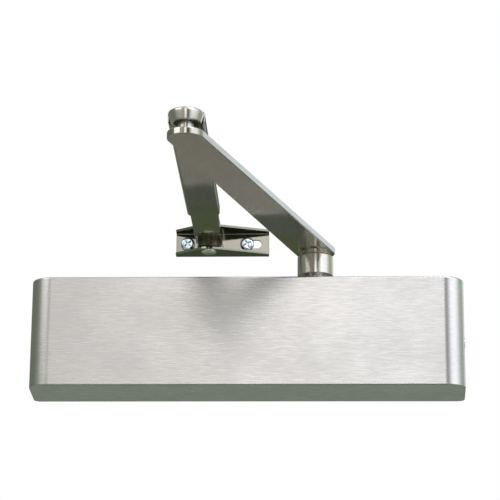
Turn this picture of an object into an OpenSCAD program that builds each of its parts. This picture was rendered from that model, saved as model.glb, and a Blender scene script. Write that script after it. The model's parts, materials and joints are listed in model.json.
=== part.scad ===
// Overhead door closer: a rack-and-pinion hydraulic body under a one-piece cover, with a two-part arm and a foot
// bracket. Millimetres. The origin is the centre of the face that lies on the door. +X runs along the body to the
// right, +Y points into the door and +Z points up. The arm is drawn where it rests with the door closed.

/* [Cover] */
// Width of the cover's front
cover_w = 285; // [284:0.5:290]
// How far each side of the cover leans out from its front corner to its back
cover_flare = 1.8; // [1.4:0.1:2.4]
// Height of the cover
cover_h = 73; // [72.5:0.5:76]
// Depth of the cover from the door face
cover_d = 50; // [50:0.5:54]
// Thickness of the cover's sheet
cover_wall = 1.6; // [1.2:0.1:1.7]
// Plan radius of the two front corners
cover_corner = 14; // [4:1:16]
// Plan radius of the two back corners, where the sheet turns in
cover_back = 3; // [2.4:0.1:3.4]
// Radius of the hole that the spindle passes through
cover_hole_r = 10; // [9:0.5:12]

/* [Spindle and hub] */
// Distance of the spindle to the right of the middle
spindle_x = 45; // [43:0.5:47]
// Distance of the spindle, and of the barrel's axis, from the door face
spindle_y = 26; // [25.5:0.25:26]
// Radius of the spindle's bearing journals
journal_r = 8; // [7.8:0.05:8.1]
// Side of the spindle's square end
square_w = 10; // [9:0.5:10.5]
// Radius of the round hub under the main arm
hub_r = 11.9; // [10:0.1:13]
// Height of the hub's underside above the cover
hub_lift = 6.3; // [4:0.1:8]

/* [Rack and pinion] */
// Gear module
gear_m = 1.5; // [1.45:0.01:1.5]
// Teeth on the pinion
gear_teeth = 12; // [12:1:12]
// Pressure angle of the teeth
pressure_angle = 25; // [24:0.5:25]
// Play between tooth flanks
backlash = 0.24; // [0.2:0.02:0.4]
// Radius of the barrel's bore
bore_r = 17; // [16.8:0.1:17.2]
// Left end of the piston when the door is closed
piston_left = 20.5; // [18:0.5:22]
// Right end of the piston when the door is closed
piston_right = 96.5; // [96:0.5:98]

/* [Power spring] */
// Diameter of the spring's wire
wire_d = 4.4; // [3.6:0.1:4.8]
// Mean radius of the coils
coil_r = 12.6; // [11.5:0.1:13]
// Turns between the closed ends
active_turns = 9; // [7:1:10]

/* [Main arm] */
// Thickness of the main arm
arm_t = 4.4; // [4:0.1:4.6]
// Height of the main arm's underside above the cover
arm_lift = 21.7; // [20:0.1:22]
// Radius of the main arm's end at the spindle
arm_r_spindle = 13; // [12:0.1:14]
// Radius of the main arm's end at the elbow
arm_r_elbow = 10.6; // [9:0.1:12]
// Distance of the elbow, and of the forearm, to the left of the middle
forearm_x = 27; // [20:0.5:30]
// Distance of the elbow from the door face
elbow_reach = 255; // [240:1:270]

/* [Forearm] */
// Height of the socket's underside above the cover
socket_lift = 31.4; // [31:0.1:32]
// Height of the socket
socket_h = 6.6; // [6.4:0.1:8]
// Radius of the socket near its top
socket_r = 10.05; // [9.8:0.05:10.5]
// Radius of the socket at its underside
socket_foot_r = 8.85; // [8.6:0.05:9.5]
// Radius of the elbow stud
stud_r = 4.6; // [4:0.1:5]
// Width of the forearm sleeve
sleeve_w = 21; // [19:0.5:22]
// Height of the forearm sleeve
sleeve_h = 8; // [8:0.1:9]
// Height of the sleeve's underside above the cover
sleeve_lift = 32; // [31.8:0.1:32.5]
// Thickness of the sleeve's walls
sleeve_wall = 1.5; // [1.2:0.1:1.8]
// Distance of the sleeve's open end from the door face
sleeve_end = 81; // [70:1:100]
// Distance of the rod's inner end from the door face
rod_inner_end = 150; // [130:1:200]

/* [Foot bracket] */
// Reach of the bracket to the left of its pin
foot_left = 23.2; // [20:0.1:26]
// Reach of the bracket to the right of its pin
foot_right = 40.4; // [36:0.1:44]
// Height of the bracket's underside above the cover
foot_lift = 27.7; // [27.5:0.1:28.5]
// Height of the bracket
foot_h = 17.9; // [17:0.1:19]
// Thickness of the bracket's plate
foot_t = 1.7; // [1.5:0.1:2.2]
// Depth of the flanges at their ends
foot_end_depth = 6.5; // [4:0.5:8]
// Height of the pin's riveted heads
pin_head = 1.9; // [0.8:0.1:2]
// Distance of the pin from the door face
pin_reach = 14.8; // [14.5:0.1:16]
// Radius of the pin
pin_r = 4; // [3.5:0.1:4.2]
// Reach of the flanges' peak from the door face
foot_peak = 21; // [20:0.5:24]
// Spacing of the two foot screws
foot_screw_gap = 40.6; // [40:0.1:43]

/* [Door fixing] */
// Spacing of the door-fixing holes along the body
fix_w = 256; // [252:0.5:258]
// Spacing of the door-fixing holes across the body
fix_h = 40; // [36:0.5:44]
// Radius of the door-fixing holes
fix_hole_r = 3.25; // [2.5:0.05:3.5]

/* [Hidden] */

$fn = 64;
cut = 0.5;               // how far a cutter runs past a face
snug = 0.02;             // gap between parts that are fixed together
running = 0.04;          // radial clearance of a turning shaft
sliding = 0.06;          // radial clearance of the piston

// Heights
cover_top = cover_h / 2;
hub_z = cover_top + hub_lift;
arm_z = cover_top + arm_lift;
arm_top = arm_z + arm_t;
socket_z = cover_top + socket_lift;
sleeve_z = cover_top + sleeve_lift;
foot_z = cover_top + foot_lift;
foot_top = foot_z + foot_h;

// Cover
side_lean = atan(cover_flare / (cover_d - cover_corner));
end_screw_y = -13;

// Half width of the cover at a distance y from the door face
function side_x(y) = cover_w / 2 - cover_corner + cover_corner * cos(side_lean)
  + (y - cover_corner + cover_d + cover_corner * sin(side_lean)) * tan(side_lean);

front_centre = [cover_w / 2 - cover_corner, cover_corner - cover_d];
back_centre = [side_x(-cover_back) - cover_back / cos(side_lean), -cover_back];

// Barrel
casting_end = 115;       // half length of the casting
plug_depth = 12;         // how far each end plug sits inside the casting
plug_inner = casting_end - plug_depth;
plug_r = bore_r + 1.5;
barrel_r = 21.5;
boss_r = 17;             // the casting's round boss around the spindle
boss_z = 33;             // its half height
cross_r = 13;            // bore across the barrel for the bearings
plate_t = 3;
ear_x = 78;              // body screws
ear_z = 27;
body_screw_r = 3;
valve_r = 3;
valve_length = 16;
valve_seats = [[-16, 24], [-34, 24], [-16, -24]];   // y, z of the closing, latching and backcheck valves

// Pinion and rack
pitch_r = gear_m * gear_teeth / 2;
tip_r = pitch_r + gear_m;
root_r = pitch_r - 1.25 * gear_m;
base_r = pitch_r * cos(pressure_angle);
gear_half = 15.3;         // half width of the gear, past the piston's flats
tooth_pitch = PI * gear_m;
window_left = spindle_x - cross_r - 1.5;
window_right = spindle_x + tip_r + 30;
window_back = tip_r + 1;

// Spring and its adjuster
seat_t = 6;
seat_left = -100;
seat_right = seat_left + seat_t;
spring_length = piston_left - 0.3 - seat_right;
adjuster_r = 5;

// Elbow
elbow = [-forearm_x, -elbow_reach];
spindle = [spindle_x, -spindle_y];
socket_bore_r = 7.2;
socket_roof = 1.2;
liner_top = socket_z + 3.4;

// Rod and foot
rod_gap = 0.1;
rod_w = sleeve_w - 2 * (sleeve_wall + rod_gap);
rod_z = sleeve_z + sleeve_wall + rod_gap;
rod_t = sleeve_h - 2 * (sleeve_wall + rod_gap);
rod_top = rod_z + rod_t;
pin = [-forearm_x, -pin_reach];
eye_r = 5.5;
collar_r = 7.8;
foot_screw_z = foot_z + foot_h / 2 - 0.3;
foot_screw_xs = [pin[0] - 15.2, pin[0] - 15.2 + foot_screw_gap];

// ---- shared shapes

// A solid cylinder along X from x0 to x1 about the point (y, z)
module rod_x(r, x0, x1, y = -spindle_y, z = 0) {
  translate([x0, y, z]) rotate([0, 90, 0]) cylinder(r = r, h = x1 - x0);
}

// A solid cylinder along Y from y0 to y1 about the point (x, z)
module rod_y(r, y0, y1, x, z) {
  translate([x, y0, z]) rotate([-90, 0, 0]) cylinder(r = r, h = y1 - y0);
}

// A solid cylinder along Z from z0 to z1 about the point c
module rod_z(r, z0, z1, c) {
  translate([c[0], c[1], z0]) cylinder(r = r, h = z1 - z0);
}

// A ring along X
module ring_x(r_out, r_in, x0, x1, y = -spindle_y, z = 0) {
  difference() {
    rod_x(r_out, x0, x1, y, z);
    rod_x(r_in, x0 - cut, x1 + cut, y, z);
  }
}

// A ring along Z
module ring_z(r_out, r_in, z0, z1, c) {
  difference() {
    rod_z(r_out, z0, z1, c);
    rod_z(r_in, z0 - cut, z1 + cut, c);
  }
}

// A box given by two opposite corners
module span(a, b) {
  translate(a) cube(b - a);
}

// A pan head with a cross recess, facing -Y, its seat at y = 0
module pan_head(r, h) {
  crown = r * 0.45;      // radius of the rounded shoulder
  difference() {
    rotate([90, 0, 0]) rotate_extrude() {
      square([r - crown, h]);
      square([r, h - crown]);
      intersection() {
        translate([r - crown, h - crown]) circle(crown);
        square([r, h]);
      }
    }
    for (turn = [0, 90]) {
      rotate([0, turn, 0]) translate([-r * 0.55, -h - cut, -0.5]) cube([r * 1.1, 1.3 + cut, 1]);
    }
  }
}

// ---- cover and mounting plate

// Plan outline of the cover, smaller by inset. The sides lean out and are tangent to both pairs of corners.
module cover_plan(inset) {
  out = [cos(side_lean), -sin(side_lean)];
  front = front_centre + (cover_corner - inset) * out;
  back = back_centre + (cover_back - inset) * out;
  polygon([front, back, [-back[0], back[1]], [-front[0], front[1]]]);
  translate([-front_centre[0], inset - cover_d]) square([2 * front_centre[0], cover_corner]);
  translate([-back_centre[0], -cover_back]) square([2 * back_centre[0], cover_back - inset]);
  for (side = [-1, 1]) {
    translate([side * front_centre[0], front_centre[1]]) circle(cover_corner - inset);
    translate([side * back_centre[0], back_centre[1]]) circle(cover_back - inset);
  }
}

module cover() {
  color("silver") difference() {
    translate([0, 0, -cover_top]) linear_extrude(cover_h) cover_plan(0);
    translate([0, 0, cover_wall - cover_top]) linear_extrude(cover_h - 2 * cover_wall) {
      cover_plan(cover_wall);
      translate([-back_centre[0], -cover_back]) square([2 * back_centre[0], cover_back + cut]);
    }
    rod_z(cover_hole_r, 0, cover_top + cut, spindle);
    rod_x(2.2, -cover_w, cover_w, end_screw_y, 0);
  }
}

module cover_screws() {
  seat = side_x(end_screw_y) + 0.2;
  color("lightsteelblue") for (side = [0, 180]) {
    rotate([0, 0, side]) translate([0, side == 0 ? end_screw_y : -end_screw_y, 0]) difference() {
      union() {
        rod_x(3.6, seat, seat + 1.2, 0, 0);
        rod_x(2 - snug, seat - 9, seat, 0, 0);
      }
      span([seat + 0.4, -0.5, -4], [seat + 2, 0.5, 4]);
    }
  }
}

module mounting_plate() {
  x = back_centre[0] - 0.4;
  color("darkgray") difference() {
    union() {
      span([-x, -plate_t, 2 - cover_top + cover_wall], [x, 0, cover_top - cover_wall - 2]);
      for (side = [-1, 1]) {
        span([side > 0 ? x - 2.1 : -x, -22, -12], [side > 0 ? x : 2.1 - x, 0, 12]);
      }
    }
    for (sx = [-1, 1], sz = [-1, 1]) {
      rod_y(fix_hole_r, -plate_t - cut, cut, sx * fix_w / 2, sz * fix_h / 2);
      rod_y(body_screw_r + snug, -plate_t - cut, cut, sx * ear_x, sz * ear_z);
    }
    rod_x(2, -cover_w, cover_w, end_screw_y, 0);
  }
}

// ---- hydraulic body

module body_casting() {
  color("gray") difference() {
    union() {
      rod_x(barrel_r, -casting_end, casting_end);
      rod_z(boss_r, -boss_z, boss_z, spindle);
      span([-100, -12, -15], [100, -plate_t, 15]);
      span([88, -42, -30], [casting_end, -8, 30]);
      for (side = [-1, 1]) {
        span([side * ear_x - 8, -9, -31.5], [side * ear_x + 8, -plate_t, 31.5]);
      }
    }
    rod_x(bore_r, -casting_end - cut, casting_end + cut);
    for (side = [-1, 1]) {
      rod_x(plug_r, side > 0 ? plug_inner : -casting_end - cut, side > 0 ? casting_end + cut : -plug_inner);
    }
    rod_z(cross_r, -boss_z - cut, boss_z + cut, spindle);
    for (sx = [-1, 1], sz = [-1, 1]) {
      rod_y(body_screw_r + 0.2, -20, 0, sx * ear_x, sz * ear_z);
    }
    for (p = valve_seats) {
      rod_x(valve_r + running, casting_end - valve_length, casting_end + cut, p[0], p[1]);
      rod_x(valve_r + 1.5, casting_end - 5, casting_end - 3, p[0], p[1]);
    }
  }
}

module body_screws() {
  color("dimgray") for (sx = [-1, 1], sz = [-1, 1]) {
    difference() {
      union() {
        rod_y(body_screw_r, -9, -0.3, sx * ear_x, sz * ear_z);
        rod_y(4.8, -13, -9, sx * ear_x, sz * ear_z);
      }
      translate([sx * ear_x, -14, sz * ear_z]) rotate([-90, 0, 0]) cylinder(r = 2.9, h = 3.5, $fn = 6);
    }
  }
}

// The plug that closes the left end and carries the power adjuster
module spring_end_plug() {
  color("dimgray") difference() {
    rod_x(plug_r - snug, -casting_end, -plug_inner);
    rod_x(adjuster_r + running, -casting_end - cut, -plug_inner + cut);
    rod_x(adjuster_r + 2, -112, -110);
    ring_x(plug_r + cut, plug_r - 1.5, -107, -105);
    for (a = [0, 180]) {
      translate([0, -spindle_y, 0]) rotate([a, 0, 0]) rod_x(1.75, -casting_end - cut, -casting_end + 4, 12, 0);
    }
  }
}

module head_end_plug() {
  color("dimgray") difference() {
    rod_x(plug_r - snug, plug_inner, casting_end);
    ring_x(plug_r + cut, plug_r - 1.5, 105, 107);
    translate([casting_end - 6, -spindle_y, 0]) rotate([0, 90, 0]) cylinder(r = 6.9, h = 7, $fn = 6);
  }
}

module end_plug_seals() {
  color([0.1, 0.1, 0.1]) {
    ring_x(plug_r - snug, plug_r - 1.48, 105.02, 106.98);
    ring_x(plug_r - snug, plug_r - 1.48, -106.98, -105.02);
  }
}

module bearing(z0) {
  color("lightgray") ring_z(cross_r - snug, journal_r + running, z0, z0 + 6.4, spindle);
}

module upper_bearing() {
  bearing(15.6);
}

module lower_bearing() {
  bearing(-22);
}

module shaft_seal(z0) {
  color([0.1, 0.1, 0.1]) ring_z(cross_r - snug, journal_r + running, z0, z0 + 3, spindle);
}

module upper_shaft_seal() {
  shaft_seal(22.3);
}

module lower_shaft_seal() {
  shaft_seal(-25.3);
}

gland_z = 25.8;          // inner end of each gland
gland_top = 34.4;        // outer face of its flange

// One gland: a threaded plug in the cross bore with a flange that sits on the boss, hollow up to the height hole_z
module gland(hole_z) {
  difference() {
    union() {
      rod_z(cross_r - snug, gland_z, boss_z, spindle);
      rod_z(15.5, boss_z, gland_top, spindle);
    }
    rod_z(journal_r + 0.5, gland_z - cut, hole_z, spindle);
    for (a = [0 : 90 : 270]) {
      translate([spindle[0], spindle[1], gland_top - 0.9]) rotate([0, 0, a]) {
        translate([13, -1, 0]) cube([4, 2, 2]);
      }
    }
  }
}

module upper_gland_nut() {
  color("goldenrod") gland(gland_top + cut);
}

module lower_gland_cap() {
  color("goldenrod") mirror([0, 0, 1]) gland(gland_z + 3);
}

module valve_seals() {
  color([0.1, 0.1, 0.1]) for (p = valve_seats) {
    ring_x(valve_r + 1.48, valve_r + running, casting_end - 4.98, casting_end - 3.02, p[0], p[1]);
  }
}

module adjuster_seal() {
  color([0.1, 0.1, 0.1]) ring_x(adjuster_r + 1.98, adjuster_r + running, -111.98, -110.02);
}

// A needle valve that screws in from the right end
module valve(p) {
  x0 = casting_end - valve_length + 0.5;
  color("lightsteelblue") difference() {
    union() {
      rod_x(valve_r, x0 + 4, casting_end + 2, p[0], p[1]);
      translate([x0, p[0], p[1]]) rotate([0, 90, 0]) cylinder(r1 = 0.6, r2 = valve_r, h = 4);
    }
    span([casting_end + 0.8, p[0] - 4, p[1] - 0.5], [casting_end + 3, p[0] + 4, p[1] + 0.5]);
  }
}

module closing_valve() {
  valve(valve_seats[0]);
}

module latching_valve() {
  valve(valve_seats[1]);
}

module backcheck_valve() {
  valve(valve_seats[2]);
}

// ---- spring side

module power_adjuster() {
  color("lightsteelblue") {
    rod_x(adjuster_r, -121, -80);
    rod_x(8, -102.4, -100.6);
    translate([-128, -spindle_y, 0]) rotate([0, 90, 0]) cylinder(r = 6.4, h = 7, $fn = 6);
  }
}

module spring_seat() {
  color("gray") difference() {
    union() {
      rod_x(bore_r - sliding, seat_left, seat_right);
      rod_x(coil_r - wire_d / 2 - 0.4, seat_right, seat_right + 5);
    }
    rod_x(adjuster_r + running, seat_left - cut, seat_right + 6);
  }
}

wire_sides = 8;
rings_a_turn = 22;
closed_turns = 1;                                  // at each end
turns = active_turns + 2 * closed_turns;
closed_pitch = wire_d * 1.04;
active_pitch = (spring_length - wire_d - 2 * closed_turns * closed_pitch) / active_turns;

// How far along the spring the wire's centre is after t turns
function coil_x(t) = closed_pitch * min(t, closed_turns)
  + active_pitch * max(0, min(t - closed_turns, active_turns))
  + closed_pitch * max(0, t - closed_turns - active_turns);

module power_spring() {
  rings = turns * rings_a_turn;
  points = [
    for (i = [0 : rings], k = [0 : wire_sides - 1])
      let (t = i / rings_a_turn, r = coil_r + wire_d / 2 * cos(k * 360 / wire_sides))
        [
          seat_right + wire_d / 2 + coil_x(t) + wire_d / 2 * sin(k * 360 / wire_sides),
          -spindle_y + r * cos(360 * t),
          r * sin(360 * t)
        ]
  ];
  sides = [
    for (i = [0 : rings - 1], k = [0 : wire_sides - 1])
      let (a = i * wire_sides, n = (k + 1) % wire_sides)
        [a + k, a + n, a + wire_sides + n, a + wire_sides + k]
  ];
  ends = [
    [for (k = [0 : wire_sides - 1]) wire_sides - 1 - k],
    [for (k = [0 : wire_sides - 1]) rings * wire_sides + k]
  ];
  color("slategray") polyhedron(points, concat(sides, ends));
}

// ---- piston

// Plan outline of the window through the piston, about the spindle's axis, with the rack along its front
module window_plan() {
  flank = tan(pressure_angle);
  half_space = tooth_pitch / 4 + backlash / 4;
  tips = -pitch_r + gear_m;
  translate([window_left, tips]) square([window_right - window_left, window_back - tips]);
  for (i = [-1 : 7]) {
    translate([spindle_x + i * tooth_pitch, 0]) polygon([
      [-(half_space + gear_m * flank), tips + 0.01],
      [half_space + gear_m * flank, tips + 0.01],
      [half_space - 1.25 * gear_m * flank, -pitch_r - 1.25 * gear_m],
      [-(half_space - 1.25 * gear_m * flank), -pitch_r - 1.25 * gear_m]
    ]);
  }
}

module piston() {
  color("darkgray") difference() {
    rod_x(bore_r - sliding, piston_left, piston_right);
    translate([0, -spindle_y, -20]) linear_extrude(40) window_plan();
    for (x = [piston_left + 3.5, piston_right - 5.5]) {
      ring_x(bore_r + cut, bore_r - 2, x, x + 2);
    }
    rod_x(3, piston_right - 8.5, piston_right + cut);
    rod_x(1.6, window_right - cut, piston_right - 8);
  }
}

module piston_rings() {
  color([0.75, 0.72, 0.65]) for (x = [piston_left + 3.5, piston_right - 5.5]) {
    ring_x(bore_r - running, bore_r - 1.98, x + 0.02, x + 1.98);
  }
}

module check_valve_retainer() {
  color("goldenrod") ring_x(3 - snug, 1.5, piston_right - 2, piston_right - 0.1);
}

module check_ball() {
  color("lightgray") translate([piston_right - 6.2, -spindle_y, 0]) sphere(r = 2.4);
}

// ---- pinion shaft

// Angle of the involute where its radius is r
function involute(r) = tan(acos(base_r / r)) * 180 / PI - acos(base_r / r);

// Half angle of a tooth at radius r
function half_tooth(r) = (tooth_pitch / 4 - backlash / 4) / pitch_r * 180 / PI + involute(pitch_r) - involute(r);

module gear_plan() {
  steps = 5;
  circle(root_r);
  for (i = [0 : gear_teeth - 1]) {
    rotate(270 + i * 360 / gear_teeth) polygon(concat(
      [[root_r * 0.8, -root_r * sin(half_tooth(base_r))]],
      [for (s = [0 : steps]) let (r = base_r + (tip_r - base_r) * s / steps)
        [r * cos(half_tooth(r)), -r * sin(half_tooth(r))]],
      [for (s = [steps : -1 : 0]) let (r = base_r + (tip_r - base_r) * s / steps)
        [r * cos(half_tooth(r)), r * sin(half_tooth(r))]],
      [[root_r * 0.8, root_r * sin(half_tooth(base_r))]]
    ));
  }
}

module pinion_shaft() {
  color("lightgray") difference() {
    union() {
      translate([spindle[0], spindle[1], -gear_half]) linear_extrude(2 * gear_half) gear_plan();
      rod_z(journal_r, -25, -gear_half, spindle);
      rod_z(journal_r, gear_half, 34, spindle);
      rod_z(journal_r - 0.6, 34, hub_z, spindle);
      span([spindle[0] - square_w / 2, spindle[1] - square_w / 2, hub_z],
           [spindle[0] + square_w / 2, spindle[1] + square_w / 2, arm_top - 0.3]);
    }
    rod_z(3 + snug, arm_top - 16, arm_top + cut, spindle);
  }
}

// Square hole for the spindle's end
module square_hole(z0, z1) {
  w = square_w / 2 + snug;
  span([spindle[0] - w, spindle[1] - w, z0 - cut], [spindle[0] + w, spindle[1] + w, z1 + cut]);
}

module arm_hub() {
  chamfer = 1.2;
  color("silver") difference() {
    translate([spindle[0], spindle[1], hub_z]) rotate_extrude() polygon([
      [0, 0], [hub_r - 0.5, 0], [hub_r, 0.5], [hub_r, arm_z - hub_z - 2.4],
      [hub_r - chamfer, arm_z - hub_z - 2.4 + chamfer], [hub_r - chamfer, arm_z - hub_z], [0, arm_z - hub_z]
    ]);
    square_hole(hub_z, arm_z);
  }
}

// ---- main arm

// A flat bar from z = 0 to t with round ends at two points, the sides all but tangent to both ends
module tapered_bar(a, ra, b, rb, t) {
  length = norm(b - a);
  turn = atan2(b[1] - a[1], b[0] - a[0]);
  side = 0.999 / cos(asin((ra - rb) / length));
  translate([a[0], a[1], 0]) rotate([0, 0, turn]) {
    cylinder(r = ra, h = t);
    translate([length, 0, 0]) cylinder(r = rb, h = t);
    linear_extrude(t) polygon([[0, -ra * side], [0, ra * side], [length, rb * side], [length, -rb * side]]);
  }
}

module main_arm() {
  color("silver") difference() {
    translate([0, 0, arm_z]) tapered_bar(spindle, arm_r_spindle, elbow, arm_r_elbow, arm_t);
    square_hole(arm_z, arm_top);
    rod_z(stud_r + snug, arm_z - cut, arm_top + cut, elbow);
  }
}

module arm_washer() {
  color("lightsteelblue") ring_z(8, 3.2, arm_top, arm_top + 1.2, spindle);
}

module arm_screw() {
  color("lightsteelblue") difference() {
    union() {
      rod_z(3, arm_top - 14, arm_top + 1.2, spindle);
      rod_z(5.2, arm_top + 1.2, arm_top + 4.8, spindle);
    }
    translate([spindle[0], spindle[1], arm_top + 2.4]) cylinder(r = 2.9, h = 4, $fn = 6);
  }
}

// ---- elbow

module elbow_stud() {
  color("silver") difference() {
    union() {
      rod_z(stud_r, arm_z, liner_top + 1.6, elbow);
      rod_z(stud_r + 1.4, arm_top, arm_top + 1, elbow);
    }
    ring_z(stud_r + 1, stud_r - 0.8, liner_top + 0.3, liner_top + 1.1, elbow);
  }
}

module elbow_clip() {
  color("slategray") difference() {
    ring_z(6.6, stud_r - 0.78, liner_top + 0.32, liner_top + 1.08, elbow);
    span([elbow[0] - 2, elbow[1], liner_top], [elbow[0] + 2, elbow[1] + 9, liner_top + 3]);
  }
}

module forearm_socket() {
  shoulder = 1.6;        // radius of the rounded top edge
  color("silver") difference() {
    union() {
      translate([elbow[0], elbow[1], socket_z]) rotate_extrude() {
        polygon([
          [0, 0], [socket_foot_r, 0], [socket_r, socket_h - shoulder - 1], [socket_r, socket_h - shoulder],
          [socket_r - shoulder, socket_h], [0, socket_h]
        ]);
        translate([socket_r - shoulder, socket_h - shoulder]) intersection() {
          circle(shoulder);
          square(shoulder);
        }
      }
      span([elbow[0] - rod_w / 2 + 1, elbow[1] + socket_bore_r + 0.8, rod_z],
           [elbow[0] + rod_w / 2 - 1, elbow[1] + 34, rod_top]);
    }
    rod_z(socket_bore_r, socket_z - cut, socket_z + socket_h - socket_roof, elbow);
    for (y = [18, 28]) {
      rod_z(2.02, rod_z - cut, rod_top + cut, elbow + [0, y]);
    }
  }
}

module socket_liner() {
  color("dimgray") ring_z(socket_bore_r - snug, stud_r + running, socket_z, liner_top, elbow);
}

// ---- forearm

// Cross section of the sleeve, w wide and h high, with rounded corners
module sleeve_section(w, h, r) {
  translate([-w / 2 + r, 0]) square([w - 2 * r, h]);
  translate([-w / 2, r]) square([w, h - 2 * r]);
  for (side = [-1, 1], z = [r, h - r]) {
    translate([side * (w / 2 - r), z]) circle(r);
  }
}

module sleeve_bar(w, z0, h, r, y0, y1) {
  translate([-forearm_x, y1, z0]) rotate([90, 0, 0]) linear_extrude(y1 - y0) sleeve_section(w, h, r);
}

module forearm_sleeve() {
  color("silver") difference() {
    sleeve_bar(sleeve_w, sleeve_z, sleeve_h, 2.2, -elbow_reach + 2, -sleeve_end);
    span([-forearm_x - sleeve_w / 2 + sleeve_wall, -elbow_reach, sleeve_z + sleeve_wall],
         [-forearm_x + sleeve_w / 2 - sleeve_wall, cut - sleeve_end, sleeve_z + sleeve_h - sleeve_wall]);
    rod_z(socket_r + 0.1, sleeve_z - cut, sleeve_z + sleeve_h + cut, elbow);
    for (y = [18, 28]) {
      rod_z(2.02, sleeve_z - cut, sleeve_z + sleeve_h + cut, elbow + [0, y]);
    }
    rod_z(3 + snug, sleeve_z + sleeve_h / 2, sleeve_z + sleeve_h + cut, [-forearm_x, -sleeve_end - 10]);
  }
}

module sleeve_rivets() {
  color("silver") for (y = [18, 28]) {
    rod_z(2, sleeve_z + 0.05, sleeve_z + sleeve_h, elbow + [0, y]);
    rod_z(3.4, sleeve_z + sleeve_h, sleeve_z + sleeve_h + 1.1, elbow + [0, y]);
  }
}

module length_lock_screw() {
  top = sleeve_z + sleeve_h;
  color("lightsteelblue") {
    rod_z(3, rod_top + 0.3, top + 0.6, [-forearm_x, -sleeve_end - 10]);
    translate([-forearm_x, -sleeve_end - 10, top + 0.6]) cylinder(r = 5.77, h = 4, $fn = 6);
  }
}

// ---- adjusting rod

module adjusting_rod() {
  color("silver") difference() {
    union() {
      span([-forearm_x - rod_w / 2, -rod_inner_end, rod_z], [-forearm_x + rod_w / 2, -pin_reach, rod_top]);
      rod_z(rod_w / 2, rod_z, rod_top, pin);
    }
    rod_z(eye_r, rod_z - cut, rod_top + cut, pin);
  }
}

module rod_bush() {
  color("dimgray") difference() {
    union() {
      rod_z(eye_r - snug, foot_z + foot_t + 0.4, foot_top - foot_t - 0.4, pin);
      rod_z(collar_r, foot_z + foot_t + 0.4, rod_z, pin);
    }
    rod_z(pin_r + running, foot_z, foot_top, pin);
  }
}

module rod_spacer() {
  color("dimgray") ring_z(collar_r, eye_r, rod_top, foot_top - foot_t - 0.4, pin);
}

// ---- foot bracket

// Plan outline of one flange, peaked in front of the pin
module flange_plan() {
  x0 = pin[0] - foot_left;
  x1 = pin[0] + foot_right;
  peak_r = 9;
  peak = [pin[0], peak_r - foot_peak];
  left = [x0, -foot_end_depth];
  right = [x1, -foot_end_depth];
  reach_left = norm(left - peak);
  reach_right = norm(right - peak);
  a_left = atan2(left[1] - peak[1], left[0] - peak[0]) + acos(peak_r / reach_left);
  a_right = atan2(right[1] - peak[1], right[0] - peak[0]) - acos(peak_r / reach_right);
  polygon([
    [x0, 0], left, peak + peak_r * [cos(a_left), sin(a_left)], peak,
    peak + peak_r * [cos(a_right), sin(a_right)], right, [x1, 0]
  ]);
  intersection() {
    translate(peak) circle(peak_r);
    translate([x0, -foot_peak - 1]) square([x1 - x0, foot_peak + 1]);
  }
}

module foot_bracket() {
  slot_left = foot_screw_xs[1] - 3;
  slot_right = foot_screw_xs[1] + 9.8;
  slot_r = 2.9;
  color("silver") difference() {
    union() {
      span([pin[0] - foot_left, -foot_t, foot_z], [pin[0] + foot_right, 0, foot_top]);
      for (z = [foot_z, foot_top - foot_t]) {
        translate([0, 0, z]) linear_extrude(foot_t) flange_plan();
      }
    }
    rod_z(pin_r + snug, foot_z - cut, foot_top + cut, pin);
    rod_y(slot_r, -foot_t - cut, cut, foot_screw_xs[0], foot_screw_z);
    for (x = [slot_left + slot_r, slot_right - slot_r]) {
      rod_y(slot_r, -foot_t - cut, cut, x, foot_screw_z);
    }
    span([slot_left + slot_r, -foot_t - cut, foot_screw_z - slot_r],
         [slot_right - slot_r, cut, foot_screw_z + slot_r]);
  }
}

module pivot_pin() {
  color("silver") {
    rod_z(pin_r, foot_z - pin_head, foot_top + pin_head, pin);
    rod_z(5.3, foot_z - pin_head, foot_z, pin);
    rod_z(5.3, foot_top, foot_top + pin_head, pin);
  }
}

module foot_screws() {
  color("lightsteelblue") for (x = foot_screw_xs) {
    translate([x, -foot_t, foot_screw_z]) pan_head(4.75, 2.5);
    rod_y(2.6, -foot_t - 0.4, -0.1, x, foot_screw_z);
    rod_y(2.4, -0.1, 16, x, foot_screw_z);
    translate([x, 16, foot_screw_z]) rotate([-90, 0, 0]) cylinder(r1 = 2.4, r2 = 0.4, h = 4);
  }
}

cover();
cover_screws();
mounting_plate();
body_casting();
body_screws();
spring_end_plug();
head_end_plug();
end_plug_seals();
upper_bearing();
lower_bearing();
upper_shaft_seal();
lower_shaft_seal();
upper_gland_nut();
lower_gland_cap();
valve_seals();
adjuster_seal();
closing_valve();
latching_valve();
backcheck_valve();
power_adjuster();
spring_seat();
power_spring();
piston();
piston_rings();
check_valve_retainer();
check_ball();
pinion_shaft();
arm_hub();
main_arm();
arm_washer();
arm_screw();
elbow_stud();
elbow_clip();
forearm_socket();
socket_liner();
forearm_sleeve();
sleeve_rivets();
length_lock_screw();
adjusting_rod();
rod_bush();
rod_spacer();
foot_bracket();
pivot_pin();
foot_screws();
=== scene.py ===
"""An overhead door closer: its cover, its two-part arm and its foot bracket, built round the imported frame."""

import json
import logging
import math
from contextlib import contextmanager
from dataclasses import dataclass, field
from enum import Enum
from typing import Any, Callable, Iterator, Self, Sequence

import bmesh
import bpy
from mathutils import Matrix, Vector

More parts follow.
